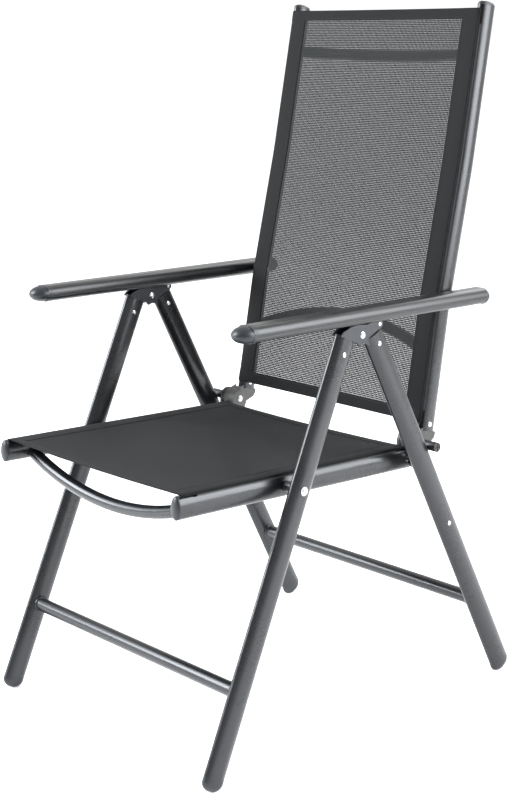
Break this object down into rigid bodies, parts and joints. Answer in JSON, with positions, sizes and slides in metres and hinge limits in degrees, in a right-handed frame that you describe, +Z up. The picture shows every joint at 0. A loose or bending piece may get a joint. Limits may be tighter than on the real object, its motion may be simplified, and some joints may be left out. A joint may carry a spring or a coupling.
{
  "type": "folding garden chair",
  "caption": "High-back folding garden armchair: oval aluminium tube frame, stretched mesh seat and reclining back, notched armrests on brackets, crossbars and domed foot caps",
  "frame": {"origin": "on the floor under the middle of the chair's bounding box", "axes": "+Z up, +X the sitter's left, -Y forward, the way the sitter faces"},
  "size_m": [0.538, 0.6983, 1.1003],
  "materials": {
    "frame_coat": "dark anthracite satin powder coat",
    "armrest_coat": "dark anthracite satin powder coat on the armrest profile",
    "cap_plastic": "moulded dark grey plastic, fine grain",
    "hinge_plastic": "moulded warm grey plastic",
    "sleeve_plastic": "black moulded plastic",
    "buffer_rubber": "black rubber",
    "rivet_metal": "bright domed rivet",
    "bolt_steel": "zinc plated steel",
    "back_mesh": "grey PVC coated polyester mesh, semi-transparent weave",
    "seat_mesh": "near black PVC coated polyester mesh",
    "keder": "dark keder cord"
  },
  "bodies": {
    "front_frame": {"front_leg_left": "frame_coat", "front_leg_right": "frame_coat", "front_foot_cap_left": "cap_plastic", "front_foot_cap_right": "cap_plastic", "front_crossbar": "frame_coat", "leg_bracket_left": "cap_plastic", "leg_bracket_right": "cap_plastic", "notch_pins": "bolt_steel", "leg_pivot_rivets": "rivet_metal", "front_bracket_rivets": "rivet_metal", "seat_pivot_bolts": "bolt_steel", "seat_pivot_spacers": "cap_plastic"},
    "rear_frame": {"rear_leg_left": "frame_coat", "rear_leg_right": "frame_coat", "rear_foot_cap_left": "cap_plastic", "rear_foot_cap_right": "cap_plastic", "rear_crossbar": "frame_coat", "rear_leg_insert_left": "cap_plastic", "rear_leg_insert_right": "cap_plastic", "rear_insert_rivets": "rivet_metal", "leg_buffers": "buffer_rubber", "buffer_rivets": "rivet_metal"},
    "hinge_sleeves": {"hinge_rollers": "sleeve_plastic"},
    "hinge_pins": {"hinge_pins": "bolt_steel"},
    "seat": {"seat_rail_left": "frame_coat", "seat_rail_right": "frame_coat", "seat_front_cap_left": "cap_plastic", "seat_front_cap_right": "cap_plastic", "seat_front_bow": "frame_coat", "seat_rear_bow": "frame_coat", "seat_mesh": "seat_mesh", "seat_keder_cords": "keder", "seat_hinge_insert_left": "hinge_plastic", "seat_hinge_insert_right": "hinge_plastic", "seat_insert_rivets": "rivet_metal", "seat_pivot_nuts": "bolt_steel"},
    "backrest": {"back_tube_left": "frame_coat", "back_tube_right": "frame_coat", "back_top_cap_left": "cap_plastic", "back_top_cap_right": "cap_plastic", "back_upper_bow": "frame_coat", "back_lower_bow": "frame_coat", "back_mesh": "back_mesh", "back_keder_cords": "keder", "back_hinge_insert_left": "hinge_plastic", "back_hinge_insert_right": "hinge_plastic", "back_insert_rivets": "rivet_metal"},
    "armrest_spacers": {"armrest_spacers": "sleeve_plastic"},
    "armrest_bolts": {"armrest_bolts": "bolt_steel"},
    "armrest_left": {"armrest_left": "armrest_coat", "armrest_front_cap_left": "cap_plastic", "armrest_rear_cap_left": "cap_plastic", "armrest_rack_left": "cap_plastic", "armrest_rack_screws_left": "bolt_steel"},
    "armrest_right": {"armrest_right": "armrest_coat", "armrest_front_cap_right": "cap_plastic", "armrest_rear_cap_right": "cap_plastic", "armrest_rack_right": "cap_plastic", "armrest_rack_screws_right": "bolt_steel"}
  },
  "joints": [
    {"name": "fold", "type": "hinge", "parent": "front_frame", "child": "rear_frame", "pos_m": [0, -0.01903, 0.612], "axis": [-1, 0, 0], "range_deg": [0, 50]},
    {"name": "sleeve_slide", "type": "slide", "parent": "rear_frame", "child": "hinge_sleeves", "axis": [0, 0.439, -0.8985], "range_m": [0, 0.26516]},
    {"name": "seat_turn", "type": "hinge", "parent": "hinge_sleeves", "child": "seat", "pos_m": [0, 0.13512, 0.412], "axis": [-1, 0, 0], "range_deg": [0, 49.94]},
    {"name": "back_fold", "type": "hinge", "parent": "hinge_sleeves", "child": "hinge_pins", "pos_m": [0, 0.13512, 0.412], "axis": [-1, 0, 0], "range_deg": [-38.62, 0]},
    {"name": "recline", "type": "hinge", "parent": "hinge_pins", "child": "backrest", "pos_m": [0, 0.13512, 0.412], "axis": [-1, 0, 0], "range_deg": [0, 36]},
    {"name": "armrest_fold", "type": "hinge", "parent": "backrest", "child": "armrest_spacers", "pos_m": [0, 0.20928, 0.6345], "axis": [-1, 0, 0], "range_deg": [0, 109.13]},
    {"name": "armrest_follow", "type": "hinge", "parent": "armrest_spacers", "child": "armrest_bolts", "pos_m": [0, 0.20928, 0.6345], "axis": [-1, 0, 0], "range_deg": [-20.62, 0]},
    {"name": "lift_left", "type": "hinge", "parent": "armrest_bolts", "child": "armrest_left", "pos_m": [0, 0.20928, 0.6345], "axis": [-1, 0, 0], "range_deg": [0, 12]},
    {"name": "lift_right", "type": "hinge", "parent": "armrest_bolts", "child": "armrest_right", "pos_m": [0, 0.20928, 0.6345], "axis": [-1, 0, 0], "range_deg": [0, 12]}
  ],
  "couplings": [
    {"joint": "sleeve_slide", "follows": "fold", "m_per_rad": 0.30328},
    {"joint": "seat_turn", "follows": "fold", "ratio": 0.99685},
    {"joint": "back_fold", "follows": "fold", "ratio": -0.77036},
    {"joint": "armrest_fold", "follows": "fold", "ratio": 2.1806},
    {"joint": "armrest_follow", "follows": "recline", "ratio": -0.57}
  ]
}
